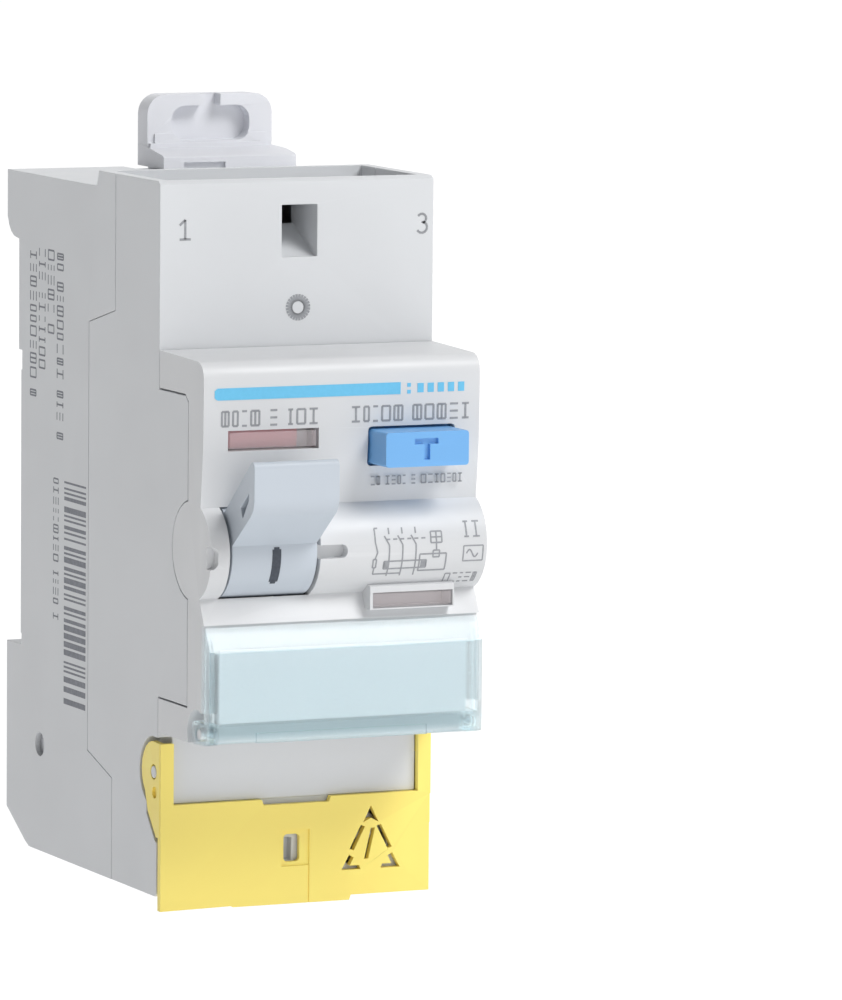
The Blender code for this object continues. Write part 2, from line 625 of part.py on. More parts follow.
def trip_bracket(look):
    """The two-eared bracket that carries the trip lever's pin in front of the relay."""
    y, z = TRIP_AXIS
    bracket = box("trip_bracket", look, (3.0, -43.2, z - 1.7), (13.6, -42.2, z + 2.0))
    for name, low, high in (("inner", 3.0, 4.6), ("outer", 12.0, 13.6)):
        ear = box(f"ear_{name}", None, (low, y - 2.0, z - 1.7), (high, -42.4, z + 2.0))
        join(bracket, ear)
    return cut(bracket, disc("ear_bore", None, "X", TRIP_AXIS, 1.35, 2, 15, 16))


def test_circuit(looks):
    resistor = disc("test_resistor", looks["resistor"], "X", (-36.5, -14.0), 2.0, -11.5, -2.5, 16)
    leaf = ribbon([(-43.8, 6.0), (-44.4, 8.0), (-44.4, 13.4)], 0.4)
    return [resistor, prism("test_leaf", looks["brass"], "X", leaf, 6.6, 11.0)]


# Current path


def upper_terminal(side, x, looks):
    path = [(-33.2, 38.0), (-33.2, 25.0), (-27.0, 20.0), (-18.9, 15.5), (-18.9, 8.6)]
    bar = prism(f"upper_contact_bar_{side}", looks["copper"], "X", ribbon(path, STRIP), x - 3, x + 3)
    bend = arc((-39.6, 34.2), 1.9, 180, 50, 6)
    loop = ribbon([(-41.5, 26.0), *bend, (-36.4, 29.0)], 0.4)
    spring = prism(f"upper_clamp_spring_{side}", looks["steel"], "X", loop, x - 2.8, x + 2.8)
    return [bar, spring]


def lower_contact(side, x, look):
    """The fixed contact below each bridge, with a foot that the through conductor starts from."""
    path = [(-18.9, 3.2), (-18.9, -4.6), (-24.2, -4.6)]
    return prism(f"lower_contact_{side}", look, "X", ribbon(path, STRIP), x - 3, x + 3)


def through_conductor(side, x, look):
    """The wire from a fixed contact, through the toroid, round it and down to the clamp."""
    way = math.copysign(1.0, x)
    route = [(abs(x), -23.2, -5.7), (7.6, -23.5, -9.0), (3.6, -23.0, -13.4), (3.0, -18.5, -14.0)]
    route += [(3.0, -9.0, -14.0), (4.6, -5.4, -14.8), (8.2, -4.3, -18.0), (8.9, -5.4, -23.4)]
    route += [(8.8, -10.0, -26.0), (abs(x), -16.0, -26.6), (abs(x), -24.0, -29.8), (abs(x), -31.6, -30.2)]
    path = smooth_path([(way * a, b, c) for a, b, c in route], 3)
    return tube(f"through_conductor_{side}", look, path, 1.3)


def toroid_core(look):
    ring = disc("toroid_core", look, "Y", CORE, CORE_R, -17.5, -9.5, FINE)
    return cut(ring, disc("toroid_hole", None, "Y", CORE, CORE_HOLE, -20, -8, FINE))


def secondary_winding(look):
    """The fine winding wrapped round one side of the core."""
    sector = [*arc(CORE, CORE_R + 1.2, 150, 210, 8), *arc(CORE, CORE_HOLE - 1.1, 210, 150, 8)]
    winding = prism("secondary_winding", look, "Y", sector, -18.7, -8.3)
    ring = disc("winding_room", None, "Y", CORE, CORE_R + 0.2, -17.7, -9.3, FINE)
    cut(ring, disc("winding_inner", None, "Y", CORE, CORE_HOLE - 0.2, -20, -7, FINE))
    return cut(winding, ring)


def lower_terminal(side, x, looks):
    """A screw, the cage that it draws forward and the plate that the cable is pressed against."""
    screw = disc(f"lower_screw_{side}", looks["steel"], "Y", (x, SCREW_Z), 3.1, -43.2, -41.2, FINE)
    join(screw, disc(f"shaft_{side}", None, "Y", (x, SCREW_Z), 2.1, -41.4, -33.9))
    cut(screw, box(f"slot_{side}", None, (x - 4, -44, SCREW_Z - 0.5), (x + 4, -42.2, SCREW_Z + 0.5)))
    pivot_at(screw, (x, -43.2, SCREW_Z))
    low, high = (x - 4.6, -36.5, -40.2), (x + 4.6, -23.8, -32.6)
    cage = box(f"lower_cage_{side}", looks["steel"], low, high)
    cut(cage, box(f"cage_room_{side}", None, (x - 3.4, -35.2, -42), (x + 3.4, -25.0, -30)))
    cut(cage, disc(f"cage_bore_{side}", None, "Y", (x, SCREW_Z), 2.4, -38, -34))
    path = [(-32.7, -40.0), (-32.7, -27.6)]
    plate = prism(f"lower_terminal_plate_{side}", looks["copper"], "X", ribbon(path, STRIP), x - 3, x + 3)
    return [screw, cage, plate]


def build():
    clear_scene()
    looks = make_materials()
    rear_base(looks["shell"])
    main_housing(looks["shell"])
    front_cover(looks["cover"])
    housing_rivet(looks["steel"])
    din_clip(looks["clip"])
    pivot_at(terminal_flap(looks["yellow"]), (0, *FLAP_PIVOT))
    pivot_at(label_cover(looks["clear"]), (0, *LABEL_PIVOT))
    box("label_card", looks["card"], (-15.8, -58.2, -19.8), (15.8, -57.8, -11.4))
    pivot_at(toggle(looks["toggle"]), (-9.5, AXIS_Y, 0))
    toggle_axle(looks["steel"])
    test_button(looks["blue"])
    coil("test_spring", looks["steel"], (STEM[0], -54.1, STEM[1]), 3.2, 1.9, 0.25, 4)
    pivot_at(position_flag(looks["red"]), (-8.7, *FLAG_AXIS))
    position_window(looks["clear"])
    fault_window(looks["clear"])
    fault_flag(looks["white"])
    drive_link(looks["steel"])
    contact_carrier(looks["dark"])
    mechanism_frame(looks["white"])
    relay_body(looks["dark"])
    relay_plunger(looks["steel"])
    pivot_at(trip_lever(looks["white"]), (8.3, *TRIP_AXIS))
    trip_bracket(looks["steel"])
    test_circuit(looks)
    toroid_core(looks["core"])
    secondary_winding(looks["winding"])
    for side, x in POLES.items():
        upper_terminal(side, x, looks)
        lower_contact(side, x, looks["copper"])
        moving_contact(side, x, looks["copper"])
        contact_spring(side, x, looks["steel"])
        through_conductor(side, x, looks["wire"])
        lower_terminal(side, x, looks)


build()
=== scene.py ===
"""Looks for the residual current device: edges, materials, printed marks, studio and camera."""

import json
import math
import random

import bmesh
import bpy
from mathutils import Matrix, Vector


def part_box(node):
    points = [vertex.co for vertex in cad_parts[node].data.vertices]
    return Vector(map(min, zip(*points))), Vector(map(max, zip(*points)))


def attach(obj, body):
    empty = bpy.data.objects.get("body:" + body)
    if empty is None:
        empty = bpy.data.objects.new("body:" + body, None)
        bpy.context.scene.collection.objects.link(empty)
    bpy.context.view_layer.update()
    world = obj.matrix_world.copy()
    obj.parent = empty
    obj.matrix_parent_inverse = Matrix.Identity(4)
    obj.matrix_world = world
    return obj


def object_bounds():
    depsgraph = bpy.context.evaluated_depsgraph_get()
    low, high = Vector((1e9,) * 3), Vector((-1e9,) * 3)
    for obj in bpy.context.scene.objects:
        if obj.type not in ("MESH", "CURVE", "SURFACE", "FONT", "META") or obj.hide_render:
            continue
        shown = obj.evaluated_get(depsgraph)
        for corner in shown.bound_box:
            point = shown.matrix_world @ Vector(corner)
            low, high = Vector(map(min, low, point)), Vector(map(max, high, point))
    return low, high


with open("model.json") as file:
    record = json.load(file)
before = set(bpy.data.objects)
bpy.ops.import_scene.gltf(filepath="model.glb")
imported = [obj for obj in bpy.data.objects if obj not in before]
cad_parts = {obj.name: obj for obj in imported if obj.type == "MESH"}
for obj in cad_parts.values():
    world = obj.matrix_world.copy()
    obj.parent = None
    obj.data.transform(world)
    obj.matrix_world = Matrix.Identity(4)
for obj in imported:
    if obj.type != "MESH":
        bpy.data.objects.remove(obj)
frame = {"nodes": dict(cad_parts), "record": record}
cad_low, cad_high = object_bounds()

MM = 0.001
NODES = frame["nodes"]

# Places on the casing, in millimetres, read from the frame where a node gives them
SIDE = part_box("main_housing")[1].x / MM
SHOULDER = -44.0
AXIS_Y = -54.1
BULGE_R = 5.85
DRUM_R = 5.6
FACE_Y = -57.35
FACE_FOOT = 5.2
FACE_BEND = 12.0
FACE_SLOPE = 0.02

# How far the ink stands out and sinks in, and the steps in which it follows a curve
PRINT_LIFT = 0.03
PRINT_SINK = 0.02
PRINT_STEP = 0.6
SIDE_LIFT = 0.01

# Grain and haze of the plastics, as features per metre, metres and roughness
GRAIN = 5200
GRAIN_DEPTH = 0.00002
PLASTIC_GLOSS = 0.45
BRUSHED = 3000
CLEAR_ROUGHNESS = 0.06
HAZE_ROUGHNESS = 0.12

# The clear cover's coat, and the tint that its thickness gives, per metre
COAT_IOR = 1.35
COAT_ROUGHNESS = 0.03
TINT = (0.25, 0.80, 0.92)
TINT_DENSITY = 95

# Half the width over which two paints meet, in metres
PAINT_EDGE = 0.00005
BARE_FLAG = (0.55, 0.56, 0.57)
GREY_PRINT = (0.30, 0.31, 0.33)
SIDE_PRINT = (0.16, 0.17, 0.20)


# Node helpers


def link(tree, start, end):
    tree.links.new(start, end)


def add(tree, kind, **values):
    node = tree.nodes.new(kind)
    for key, value in values.items():
        setattr(node, key, value)
    return node


def noise(tree, coords, scale, detail=3.0, stretch=None):
    """A noise texture in object space, at scale features per metre."""
    source = coords
    if stretch:
        mapping = add(tree, "ShaderNodeMapping")
        mapping.inputs["Scale"].default_value = stretch
        link(tree, coords, mapping.inputs["Vector"])
        source = mapping.outputs["Vector"]
    texture = add(tree, "ShaderNodeTexNoise")
    texture.inputs["Scale"].default_value = scale
    texture.inputs["Detail"].default_value = detail
    link(tree, source, texture.inputs["Vector"])
    return texture.outputs["Fac"]


def spread(tree, value, low, high, start=0.3, end=0.7):
    """Maps a noise value onto the range low to high."""
    node = add(tree, "ShaderNodeMapRange")
    node.inputs["From Min"].default_value = start
    node.inputs["From Max"].default_value = end
    node.inputs["To Min"].default_value = low
    node.inputs["To Max"].default_value = high
    link(tree, value, node.inputs["Value"])
    return node.outputs["Result"]


def tinted(tree, factor, first, second):
    node = add(tree, "ShaderNodeMix", data_type="RGBA")
    node.inputs["A"].default_value = (*first, 1)
    node.inputs["B"].default_value = (*second, 1)
    link(tree, factor, node.inputs["Factor"])
    return node.outputs["Result"]


def painted_over(tree, amount, under, colour):
    """Lays one plain colour over a changing one, as far as amount says."""
    node = add(tree, "ShaderNodeMix", data_type="RGBA")
    node.inputs["B"].default_value = (*colour, 1)
    link(tree, amount, node.inputs["Factor"])
    link(tree, under, node.inputs["A"])
    return node.outputs["Result"]


def worn(tree, colour, edge):
    """Lightens the convex edges, where handling polishes them."""
    geometry = add(tree, "ShaderNodeNewGeometry")
    amount = spread(tree, geometry.outputs["Pointiness"], 0.0, 0.35, 0.52, 0.62)
    return painted_over(tree, amount, colour, edge)


def roughened(tree, shader, value, low, high):
    """Lets a noise value set how rough the surface is."""
    link(tree, spread(tree, value, low, high), shader.inputs["Roughness"])


def bumped(tree, shader, height, strength, distance):
    node = add(tree, "ShaderNodeBump")
    node.inputs["Strength"].default_value = strength
    node.inputs["Distance"].default_value = distance
    link(tree, height, node.inputs["Height"])
    link(tree, node.outputs["Normal"], shader.inputs["Normal"])


def new_material(name):
    made = bpy.data.materials.new(name)
    made.use_nodes = True
    tree = made.node_tree
    coords = add(tree, "ShaderNodeTexCoord").outputs["Object"]
    return made, tree, tree.nodes["Principled BSDF"], coords


def shade(colour, factor):
    return tuple(min(1.0, part * factor) for part in colour)


def plastic(name, colour, roughness, strength=0.25):
    """Moulded plastic: fine spark-eroded grain, faint clouding and slightly polished edges."""
    made, tree, shader, coords = new_material(name)
    clouds = noise(tree, coords, 60, 4.0)
    base = tinted(tree, spread(tree, clouds, 0, 1), shade(colour, 0.975), shade(colour, 1.02))
    link(tree, worn(tree, base, shade(colour, 1.12)), shader.inputs["Base Color"])
    patches = noise(tree, coords, 240, 5.0)
    roughened(tree, shader, patches, roughness - 0.05, roughness + 0.06)
    shader.inputs["Specular IOR Level"].default_value = PLASTIC_GLOSS
    bumped(tree, shader, noise(tree, coords, GRAIN, 2.0), strength, GRAIN_DEPTH)
    return made


def metal(name, colour, roughness, stretch):
    """Rolled or plated metal with a drawn direction and a little tarnish."""
    made, tree, shader, coords = new_material(name)
    stains = noise(tree, coords, 180, 6.0)
    base = tinted(tree, spread(tree, stains, 0, 1), shade(colour, 0.82), shade(colour, 1.05))
    link(tree, worn(tree, base, shade(colour, 1.2)), shader.inputs["Base Color"])
    shader.inputs["Metallic"].default_value = 1.0
    lines = noise(tree, coords, BRUSHED, 4.0, stretch)
    roughened(tree, shader, lines, roughness - 0.08, roughness + 0.12)
    bumped(tree, shader, lines, 0.2, 0.00001)
    return made


def clear(name, colour, cover):
    """Clear moulded polycarbonate. cover is how much of the view it veils."""
    made, tree, shader, coords = new_material(name)
    shader.inputs["Base Color"].default_value = (*colour, 1)
    shader.inputs["Transmission Weight"].default_value = 1.0
    shader.inputs["Alpha"].default_value = cover
    shader.inputs["IOR"].default_value = 1.49
    shader.inputs["Coat Weight"].default_value = 1.0
    shader.inputs["Coat IOR"].default_value = COAT_IOR
    shader.inputs["Coat Roughness"].default_value = COAT_ROUGHNESS
    smears = noise(tree, coords, 300, 5.0)
    roughened(tree, shader, smears, CLEAR_ROUGHNESS - 0.03, CLEAR_ROUGHNESS + 0.05)
    bumped(tree, shader, noise(tree, coords, 140, 2.0), 0.06, 0.0001)
    volume = add(tree, "ShaderNodeVolumeAbsorption")
    volume.inputs["Color"].default_value = (*TINT, 1)
    volume.inputs["Density"].default_value = TINT_DENSITY
    link(tree, volume.outputs["Volume"], tree.nodes["Material Output"].inputs["Volume"])
    return made


def hazed(name, colour, cover):
    """A clear lens seen at its moulded, slightly milky face."""
    made, tree, shader, coords = new_material(name)
    shader.inputs["Base Color"].default_value = (*colour, 1)
    shader.inputs["Alpha"].default_value = cover
    shader.inputs["Specular IOR Level"].default_value = 0.8
    smears = noise(tree, coords, 500, 4.0)
    roughened(tree, shader, smears, HAZE_ROUGHNESS - 0.04, HAZE_ROUGHNESS + 0.08)
    bumped(tree, shader, noise(tree, coords, 260, 2.0), 0.08, 0.0001)
    return made


def ink(name, colour, uneven=1.12):
    """Pad-printed ink, a little uneven in density."""
    made, tree, shader, coords = new_material(name)
    specks = noise(tree, coords, 2600, 3.0)
    mixed = tinted(tree, spread(tree, specks, 0, 1, 0.35, 0.6), shade(colour, uneven), colour)
    link(tree, mixed, shader.inputs["Base Color"])
    roughened(tree, shader, specks, 0.4, 0.6)
    bumped(tree, shader, specks, 0.1, 0.00001)
    return made


def card_stock(name, colour):
    """Printed card with a faint fibre."""
    made, tree, shader, coords = new_material(name)
    fibre = noise(tree, coords, 2200, 6.0, (1.0, 1.0, 3.0))
    mixed = tinted(tree, spread(tree, fibre, 0, 1), shade(colour, 0.97), shade(colour, 1.02))
    link(tree, mixed, shader.inputs["Base Color"])
    shader.inputs["Roughness"].default_value = 0.75
    bumped(tree, shader, fibre, 0.25, 0.00002)
    return made


def winding_look(name, colour):
    """Fine enamelled turns side by side round the core."""
    made, tree, shader, coords = new_material(name)
    turns = add(tree, "ShaderNodeTexWave", wave_type="BANDS", bands_direction="Z")
    turns.inputs["Scale"].default_value = 900
    turns.inputs["Distortion"].default_value = 1.2
    link(tree, coords, turns.inputs["Vector"])
    mixed = tinted(tree, turns.outputs["Fac"], shade(colour, 0.5), shade(colour, 1.1))
    link(tree, mixed, shader.inputs["Base Color"])
    shader.inputs["Metallic"].default_value = 0.7
    link(tree, spread(tree, turns.outputs["Fac"], 0.28, 0.45, 0, 1), shader.inputs["Roughness"])
    bumped(tree, shader, turns.outputs["Fac"], 0.6, 0.0001)
    return made


def flag_look(name, low, high, split, end=None):
    """An indicator's paint: low and high colours meet at a height, and bare grey past its end."""
    made, tree, shader, coords = new_material(name)
    parts = add(tree, "ShaderNodeSeparateXYZ")
    link(tree, coords, parts.inputs["Vector"])
    side = spread(tree, parts.outputs["Z"], 0, 1, split - PAINT_EDGE, split + PAINT_EDGE)
    paint = tinted(tree, side, low, high)
    if end is not None:
        past = spread(tree, parts.outputs["X"], 0, 1, end - PAINT_EDGE, end + PAINT_EDGE)
        paint = painted_over(tree, past, paint, BARE_FLAG)
    link(tree, paint, shader.inputs["Base Color"])
    specks = noise(tree, coords, 4000, 3.0)
    roughened(tree, shader, specks, 0.45, 0.6)
    bumped(tree, shader, specks, 0.2, 0.00002)
    return made


def make_looks():
    """Every look by its slot. The record names the slot of each node."""
    red, green, orange = (1.0, 0.36, 0.39), (0.10, 0.42, 0.16), (0.88, 0.42, 0.05)
    along_z = (1.0, 1.0, 0.06)
    along_y = (1.0, 0.06, 1.0)
    return {
        "shell": plastic("shell_plastic", (0.66, 0.675, 0.695), 0.46),
        "cover": plastic("cover_plastic", (0.665, 0.675, 0.69), 0.42),
        "clip": plastic("clip_plastic", (0.75, 0.76, 0.80), 0.44),
        "toggle": plastic("toggle_plastic", (0.53, 0.58, 0.64), 0.36, strength=0.15),
        "button_blue": plastic("button_plastic", (0.17, 0.43, 0.80), 0.36, strength=0.15),
        "flap_yellow": plastic("flap_plastic", (0.97, 0.79, 0.19), 0.42),
        "clear": clear("clear_cover", (0.93, 0.985, 1.0), 0.5),
        # Painted refraction: a strong, nearly opaque cyan on the clear cover's rounded edges,
        # standing in for the light that the clear plastic bends along its edges
        "clear_edge_painted_refraction": clear("clear_edge_painted_refraction", (0.22, 0.74, 0.92), 0.9),
        "window": hazed("hazed_window", (0.98, 0.89, 0.91), 0.24),
        "card": card_stock("card_stock", (0.86, 0.90, 0.93)),
        "flag_red": flag_look("flag_paint", red, green, 0.0152, -0.0045),
        "fault_paint": flag_look("fault_paint", orange, BARE_FLAG, -0.0077),
        "dark_plastic": plastic("dark_plastic", (0.035, 0.037, 0.042), 0.5),
        "inner_plastic": plastic("inner_plastic", (0.62, 0.60, 0.55), 0.5),
        "copper": metal("copper_strip", (0.78, 0.38, 0.22), 0.32, along_z),
        "brass": metal("brass_strip", (0.72, 0.54, 0.24), 0.32, along_z),
        "steel": metal("zinc_plate", (0.58, 0.59, 0.61), 0.34, along_y),
        "core_case": plastic("core_lacquer", (0.05, 0.07, 0.12), 0.4),
        "winding": winding_look("enamelled_turns", (0.55, 0.20, 0.06)),
        "wire": plastic("wire_sleeve", (0.03, 0.05, 0.20), 0.5),
        "resistor": plastic("resistor_ceramic", (0.50, 0.38, 0.22), 0.6),
    }


# CAD nodes: edges and finish


# Widths of the rounded edges, in millimetres, and angles, in degrees
EDGE = {
    "rear_base": 0.12,
    "main_housing": 0.14,
    "front_cover": 0.16,
    "toggle": 0.3,
    "test_button": 0.25,
    "terminal_flap": 0.1,
    "label_cover": 0.22,
    "din_clip": 0.25,
}
SMALL_EDGE = 0.1
FLAT_ANGLE = 0.5
SHARP_ANGLE = 32
CREASE = {"label_cover": 25}
WELD_GAP = 0.000002
LARGE_FACES_LEAD = 80

# Nodes that are shaded flat, whose rounded edges get a painted cyan standing in for light
# refracted along them, and whose holes must stay
FACETED = {"terminal_flap"}
EDGE_PAINTED_REFRACTION = {"label_cover": "clear_edge_painted_refraction"}
PIERCED = {"terminal_flap", "din_clip"}
LOOKS = {"position_window": "window", "fault_window": "window", "fault_flag": "fault_paint"}


def soften(node, width):
    """Rounds a CAD node's moulded edges with modifiers, which leave its own mesh alone."""
    weld = node.modifiers.new("weld", "WELD")
    weld.merge_threshold = WELD_GAP
    if node.name not in PIERCED:
        flat = node.modifiers.new("flat_faces", "DECIMATE")
        flat.decimate_type = "DISSOLVE"
        flat.angle_limit = math.radians(FLAT_ANGLE)
    bevel = node.modifiers.new("edges", "BEVEL")
    bevel.width = width * MM
    bevel.segments = 2
    bevel.limit_method = "ANGLE"
    bevel.angle_limit = math.radians(CREASE.get(node.name, SHARP_ANGLE))
    bevel.use_clamp_overlap = True
    bevel.miter_outer = "MITER_ARC"
    if node.name in FACETED:
        return
    bevel.harden_normals = True
    even = node.modifiers.new("even_faces", "WEIGHTED_NORMAL")
    even.mode = "FACE_AREA"
    even.weight = LARGE_FACES_LEAD
    even.keep_sharp = True


def finish_nodes(looks):
    """Gives every CAD node its look and its edges."""
    slots = {row["node"]: row["material_slot"] for row in frame["record"]["subparts"]}
    for name, node in NODES.items():
        node.data.materials.clear()
        node.data.materials.append(looks[LOOKS.get(name, slots[name])])
        if name in FACETED:
            node.data.shade_flat()
        else:
            node.data.shade_smooth()
        soften(node, EDGE.get(name, SMALL_EDGE))
        # The bevel faces of these nodes take the painted cyan that stands in for refracted light
        if name in EDGE_PAINTED_REFRACTION:
            node.data.materials.append(looks[EDGE_PAINTED_REFRACTION[name]])
            node.modifiers["edges"].material = 1


# Printed marks


def front_y(z):
    """How far forward the nose's face is at a height."""
    reach = BULGE_R**2 - z**2
    bulge = AXIS_Y - math.sqrt(reach) if reach > 0 else 0.0
    if z >= FACE_FOOT:
        return min(FACE_Y - FACE_SLOPE * max(0.0, z - FACE_BEND), bulge)
    return bulge


def on_nose(x, z, lift):
    return (x, front_y(z) - lift, z)


def on_shoulder(x, z, lift):
    return (x, SHOULDER - lift, z)


def on_left_side(y, z, lift):
    return (-SIDE - (SIDE_LIFT if lift > 0 else lift), y, z)


def on_drum(x, z, lift):
    return (x, AXIS_Y - math.sqrt(DRUM_R**2 - z**2) - lift, z)


def sliced(quad):
    """A four-sided mark cut into short steps along its length, so that it can follow a curve."""
    a, b, c, d = map(Vector, quad)
    steps = max(1, math.ceil(max((b - a).length, (c - d).length) / PRINT_STEP))
    for i in range(steps):
        start, end = i / steps, (i + 1) / steps
        yield a.lerp(b, start), a.lerp(b, end), d.lerp(c, end), d.lerp(c, start)


def stroke(start, end, width):
    """A straight line of ink as a four-sided mark."""
    a, b = Vector(start), Vector(end)
    side = (b - a).orthogonal().normalized() * width / 2
    return [a + side, b + side, b - side, a - side]


def rectangle(left, right, low, high):
    return [(left, low), (left, high), (right, high), (right, low)]


def outline_box(left, right, low, high, width):
    corners = rectangle(left, right, low, high)
    return [stroke(a, b, width) for a, b in zip(corners, corners[1:] + corners[:1])]


def printed(name, marks, surface, body, look):
    """Thin raised ink made from four-sided marks laid onto a surface."""
    shape = bmesh.new()
    for mark in marks:
        for piece in sliced(mark):
            top, base = (
                [shape.verts.new(Vector(surface(p.x, p.y, lift)) * MM) for p in piece]
                for lift in (PRINT_LIFT, -PRINT_SINK)
            )
            shape.faces.new(top)
            shape.faces.new(base[::-1])
            for i in range(4):
                after = (i + 1) % 4
                shape.faces.new((top[after], top[i], base[i], base[after]))
    bmesh.ops.recalc_face_normals(shape, faces=shape.faces)
    mesh = bpy.data.meshes.new(name)
    shape.to_mesh(mesh)
    shape.free()
    made = bpy.data.objects.new(name, mesh)
    bpy.context.scene.collection.objects.link(made)
    mesh.materials.append(look)
    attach(made, body)


# The strokes of each meaningless mark
GLYPHS = (
    ("left", "right", "base", "crown"),
    ("left", "right", "base", "crown", "stem"),
    ("base", "crown"),
    ("base", "middle", "crown"),
    ("base", "crown", "stem"),
)


def filler_row(rng, start, end, level, height, stroke_width, gap=0.32):
    """Meaningless letter-sized marks along a row, in place of printed wording."""
    marks = []
    place = start
    while place < end - height * 0.5:
        width = height * rng.choice((0.35, 0.5, 0.6))
        low, high = level - height / 2, level + height / 2
        kind = rng.randrange(len(GLYPHS))
        sides = {
            "left": ((place, low), (place, high)),
            "right": ((place + width, low), (place + width, high)),
            "base": ((place, low), (place + width, low)),
            "crown": ((place, high), (place + width, high)),
            "middle": ((place, level), (place + width, level)),
            "stem": ((place + width / 2, low), (place + width / 2, high)),
        }
        for side in GLYPHS[kind]:
            marks.append(stroke(*sides[side], stroke_width))
        place += width + height * gap
        if rng.random() < 0.18:
            place += height * 0.5
    return marks


def arc_points(centre, radius, start, end, steps):
    turns = [math.radians(start + (end - start) * i / steps) for i in range(steps + 1)]
    return [(centre[0] + radius * math.cos(t), centre[1] + radius * math.sin(t)) for t in turns]


def path_strokes(points, width):
    return [stroke(a, b, width) for a, b in zip(points, points[1:])]


def nose_marks(inks):
    """The blue band with its plain blocks, and the rows above and below the window and button."""
    rng = random.Random(7)
    band = [rectangle(-15.8, 7.35, 17.78, 19.18), rectangle(-16.0, -15.8, 17.86, 19.1)]
    band.append(rectangle(-16.15, -16.0, 18.02, 18.94))
    printed("blue_band", band, on_nose, "housing", inks["blue"])
    brand = [rectangle(8.2, 8.65, 18.6, 19.05), rectangle(8.2, 8.65, 17.8, 18.25)]
    brand += [rectangle(9.5 + 1.3 * i, 10.3 + 1.3 * i, 17.9, 19.0) for i in range(5)]
    printed("blue_blocks", brand, on_nose, "housing", inks["blue"])
    rows = filler_row(rng, -15.2, -3.0, 15.6, 1.7, 0.25)
    rows += filler_row(rng, 1.2, 16.9, 15.6, 1.7, 0.25)
    rows += filler_row(rng, 3.7, 15.9, 7.75, 0.95, 0.17)
    printed("nose_rows", rows, on_nose, "housing", inks["grey"])


def diagram_marks(inks):
    """A plain wiring diagram: switched poles, a sensing loop, a relay box and a test branch."""
    thin = 0.17
    marks = []
    for x in (5.0, 6.7, 8.4):
        marks += path_strokes([(x - 0.6, 1.5), (x, 0.4), (x, -3.3)], thin)
        marks.append(stroke((x, 2.4), (x, 1.7), thin))
    marks += outline_box(4.4, 9.8, -2.4, -1.5, thin)
    marks += [rectangle(4.4, 5.1, -2.4, -1.5), rectangle(9.1, 9.8, -2.4, -1.5)]
    marks += [stroke((4.6 + 0.9 * i, 1.1), (5.1 + 0.9 * i, 1.1), thin) for i in range(6)]
    marks += outline_box(10.3, 11.7, 0.5, 1.8, thin)
    marks += [stroke((11.0, 0.5), (11.0, 1.8), thin), stroke((10.3, 1.15), (11.7, 1.15), thin)]
    marks += path_strokes([(11.0, 0.5), (11.0, -0.4)], thin)
    marks += outline_box(10.6, 11.4, -1.2, -0.4, thin)
    marks += outline_box(8.9, 12.3, -2.8, -0.8, thin)
    marks += path_strokes([(3.6, 2.4), (3.2, 2.4), (3.2, 0.8), (3.5, -0.4), (3.2, -1.2)], thin)
    marks += outline_box(3.0, 3.4, -2.2, -1.2, thin)
    marks += path_strokes([(3.2, -2.2), (3.2, -3.0), (6.6, -3.0)], thin)
    printed("wiring_diagram", marks, on_nose, "housing", inks["grey"])
    wave = [(14.9 + 0.12 * i, -0.95 + 0.45 * math.sin(i * math.pi / 6)) for i in range(13)]
    symbol = path_strokes(wave, 0.16) + outline_box(14.5, 17.0, -1.85, -0.05, 0.15)
    printed("wave_symbol", symbol, on_nose, "housing", inks["grey"])
    rng = random.Random(3)
    rows = filler_row(rng, 14.6, 17.1, 1.9, 1.7, 0.19)
    rows += filler_row(rng, 12.6, 16.9, -3.9, 1.1, 0.15)
    printed("nose_side_rows", rows, on_nose, "housing", inks["grey"])


def shoulder_marks(inks):
    """The two pole numbers and a plain ring under the window."""
    one = path_strokes([(-15.0, 37.0), (-14.3, 37.65), (-14.3, 35.35)], 0.28)
    one.append(stroke((-15.0, 35.35), (-13.6, 35.35), 0.28))
    three = arc_points((16.0, 37.1), 0.56, 150, -80, 8)
    three += arc_points((16.0, 36.05), 0.68, 80, -150, 8)
    ring = arc_points((0.1, 27.0), 1.15, 0, 360, 24)
    marks = one + path_strokes(three, 0.28) + path_strokes(ring, 0.85)
    printed("shoulder_marks", marks, on_shoulder, "housing", inks["grey"])


def drum_mark(inks):
    """The bar on the toggle's drum that shows it is on."""
    bar = [(-9.72, 0.5), (-9.72, -3.4), (-8.62, -3.4), (-8.62, 0.5)]
    ends = [(-9.5, 0.75), (-9.5, 0.5), (-8.84, 0.5), (-8.84, 0.75)]
    foot = [(-9.5, -3.4), (-9.5, -3.65), (-8.84, -3.65), (-8.84, -3.4)]
    printed("on_mark", [bar, ends, foot], on_drum, "toggle", inks["dark"])


def turned(marks):
    """Marks drawn along a row, turned to read down the side."""
    return [[(point[1], -point[0]) for point in mark] for mark in marks]


# Level, start and end of the rows that read down the side
SIDE_ROWS = (
    (-4.0, -31.0, -12.0),
    (-6.9, -31.5, -17.0),
    (-9.8, -31.5, -21.5),
    (-12.8, -31.3, -8.0),
)
BARS_TOP, BARS_FOOT = 4.0, -23.6
BARS_REAR, BARS_FRONT = -14.3, -21.3


def side_marks(inks):
    """Rows of filler and a block of bars that holds no code."""
    rng = random.Random(11)
    rows = []
    for level, start, end in SIDE_ROWS:
        rows += filler_row(rng, start, end, level, 1.9, 0.22)
    rows += filler_row(rng, -4.0, 14.0, -11.6, 1.5, 0.2)
    printed("side_rows", turned(rows), on_left_side, "housing", inks["side"])
    bars = []
    z = BARS_TOP
    while z > BARS_FOOT:
        thick = rng.choice((0.25, 0.25, 0.45, 0.7))
        upper = [(BARS_FRONT, z), (BARS_REAR, z)]
        bars.append(upper + [(BARS_REAR, z - thick), (BARS_FRONT, z - thick)])
        z -= thick + rng.choice((0.3, 0.3, 0.5, 0.75))
    printed("side_bars", bars, on_left_side, "housing", inks["side"])


# Studio, in metres


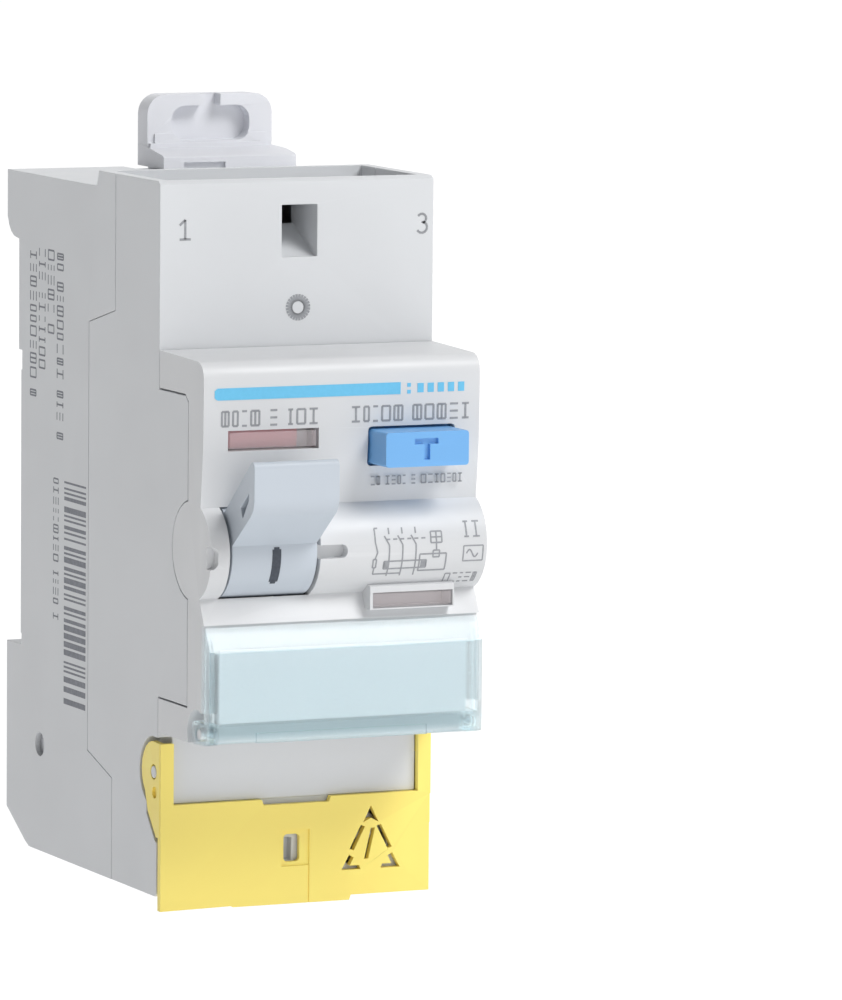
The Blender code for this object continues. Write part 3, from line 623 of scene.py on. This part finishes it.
FLOOR_GAP = 0.0006
FLOOR_REACH = 12.0
SWEEP_LEFT, SWEEP_RIGHT = -1.2, 3.0
SWEEP_START = 0.9
SWEEP_R = 0.6
SWEEP_TURNS = (0.3, 0.6, 0.9, 1.2, 1.5)
SWEEP_TOP = (1.52, 3.0)
FLOOR_GLOW = 0.95
WORLD_GLOW = 0.14
AIM = (0, -0.03, 0)


def area_light(name, place, size, power):
    data = bpy.data.lights.new(name, "AREA")
    data.shape = "SQUARE"
    data.size = size
    data.energy = power
    light = bpy.data.objects.new(name, data)
    light.location = place
    light.rotation_euler = (Vector(AIM) - Vector(place)).to_track_quat("-Z", "Y").to_euler()
    bpy.context.scene.collection.objects.link(light)


def studio_floor():
    """A wide floor that curves up behind the object."""
    floor_z = cad_low.z - FLOOR_GAP
    shape = bmesh.new()
    profile = [(SWEEP_START, 0.0)]
    for turn in SWEEP_TURNS:
        out, rise = SWEEP_R * math.sin(turn), SWEEP_R * math.cos(turn)
        profile.append((SWEEP_START + out, SWEEP_R - rise))
    profile.append(SWEEP_TOP)
    left = [shape.verts.new((SWEEP_LEFT, y, z + floor_z)) for y, z in profile]
    right = [shape.verts.new((SWEEP_RIGHT, y, z + floor_z)) for y, z in profile]
    for i in range(len(profile) - 1):
        shape.faces.new((left[i], right[i], right[i + 1], left[i + 1]))
    corners = [(-FLOOR_REACH, -FLOOR_REACH), (FLOOR_REACH, -FLOOR_REACH)]
    corners += [(FLOOR_REACH, SWEEP_START), (-FLOOR_REACH, SWEEP_START)]
    shape.faces.new([shape.verts.new((x, y, floor_z)) for x, y in corners])
    mesh = bpy.data.meshes.new("studio_floor")
    shape.to_mesh(mesh)
    shape.free()
    mesh.shade_smooth()
    floor = bpy.data.objects.new("studio_floor", mesh)
    bpy.context.scene.collection.objects.link(floor)
    look = bpy.data.materials.new("studio_white")
    look.use_nodes = True
    shader = look.node_tree.nodes["Principled BSDF"]
    shader.inputs["Base Color"].default_value = (0.12, 0.12, 0.12, 1)
    shader.inputs["Roughness"].default_value = 0.9
    shader.inputs["Emission Color"].default_value = (1, 1, 1, 1)
    shader.inputs["Emission Strength"].default_value = FLOOR_GLOW
    mesh.materials.append(look)


def studio():
    studio_floor()
    area_light("key", (0.36, -0.53, 0.66), 0.4, 5.4)
    area_light("front", (0.0, -0.95, 0.0), 0.6, 2.2)
    area_light("top", (0.1, 0.1, 0.8), 0.8, 1.2)
    world = bpy.data.worlds.new("studio")
    world.use_nodes = True
    world.node_tree.nodes["Background"].inputs["Color"].default_value = (1, 1, 1, 1)
    world.node_tree.nodes["Background"].inputs["Strength"].default_value = WORLD_GLOW
    bpy.context.scene.world = world
    bpy.context.scene.view_settings.view_transform = "Standard"


# The camera fitted to the photograph: its own right, up and back, its place and its lens
CAMERA_RIGHT = (0.910752, -0.412858, 0.008636)
CAMERA_UP = (0.038932, 0.106665, 0.993534)
CAMERA_BACK = (-0.41111, -0.90453, 0.11322)
CAMERA_PLACE = (-0.35924, -0.87006, 0.10696)
LENS_MM = 276.84


def camera():
    turn = Matrix((CAMERA_RIGHT, CAMERA_UP, CAMERA_BACK)).transposed().to_4x4()
    data = bpy.data.cameras.new("camera")
    data.lens = LENS_MM
    data.sensor_width = 36.0
    data.clip_start = 0.05
    data.clip_end = 20.0
    made = bpy.data.objects.new("camera", data)
    made.matrix_world = Matrix.Translation(CAMERA_PLACE) @ turn
    bpy.context.scene.collection.objects.link(made)
    bpy.context.scene.camera = made


camera()
studio()
finish_nodes(make_looks())
inks = {
    "grey": ink("grey_ink", GREY_PRINT),
    "blue": ink("blue_ink", (0.14, 0.52, 0.79), 1.03),
    "dark": ink("dark_ink", (0.05, 0.06, 0.08)),
    "side": ink("side_ink", SIDE_PRINT),
}
nose_marks(inks)
diagram_marks(inks)
shoulder_marks(inks)
drum_mark(inks)
side_marks(inks)
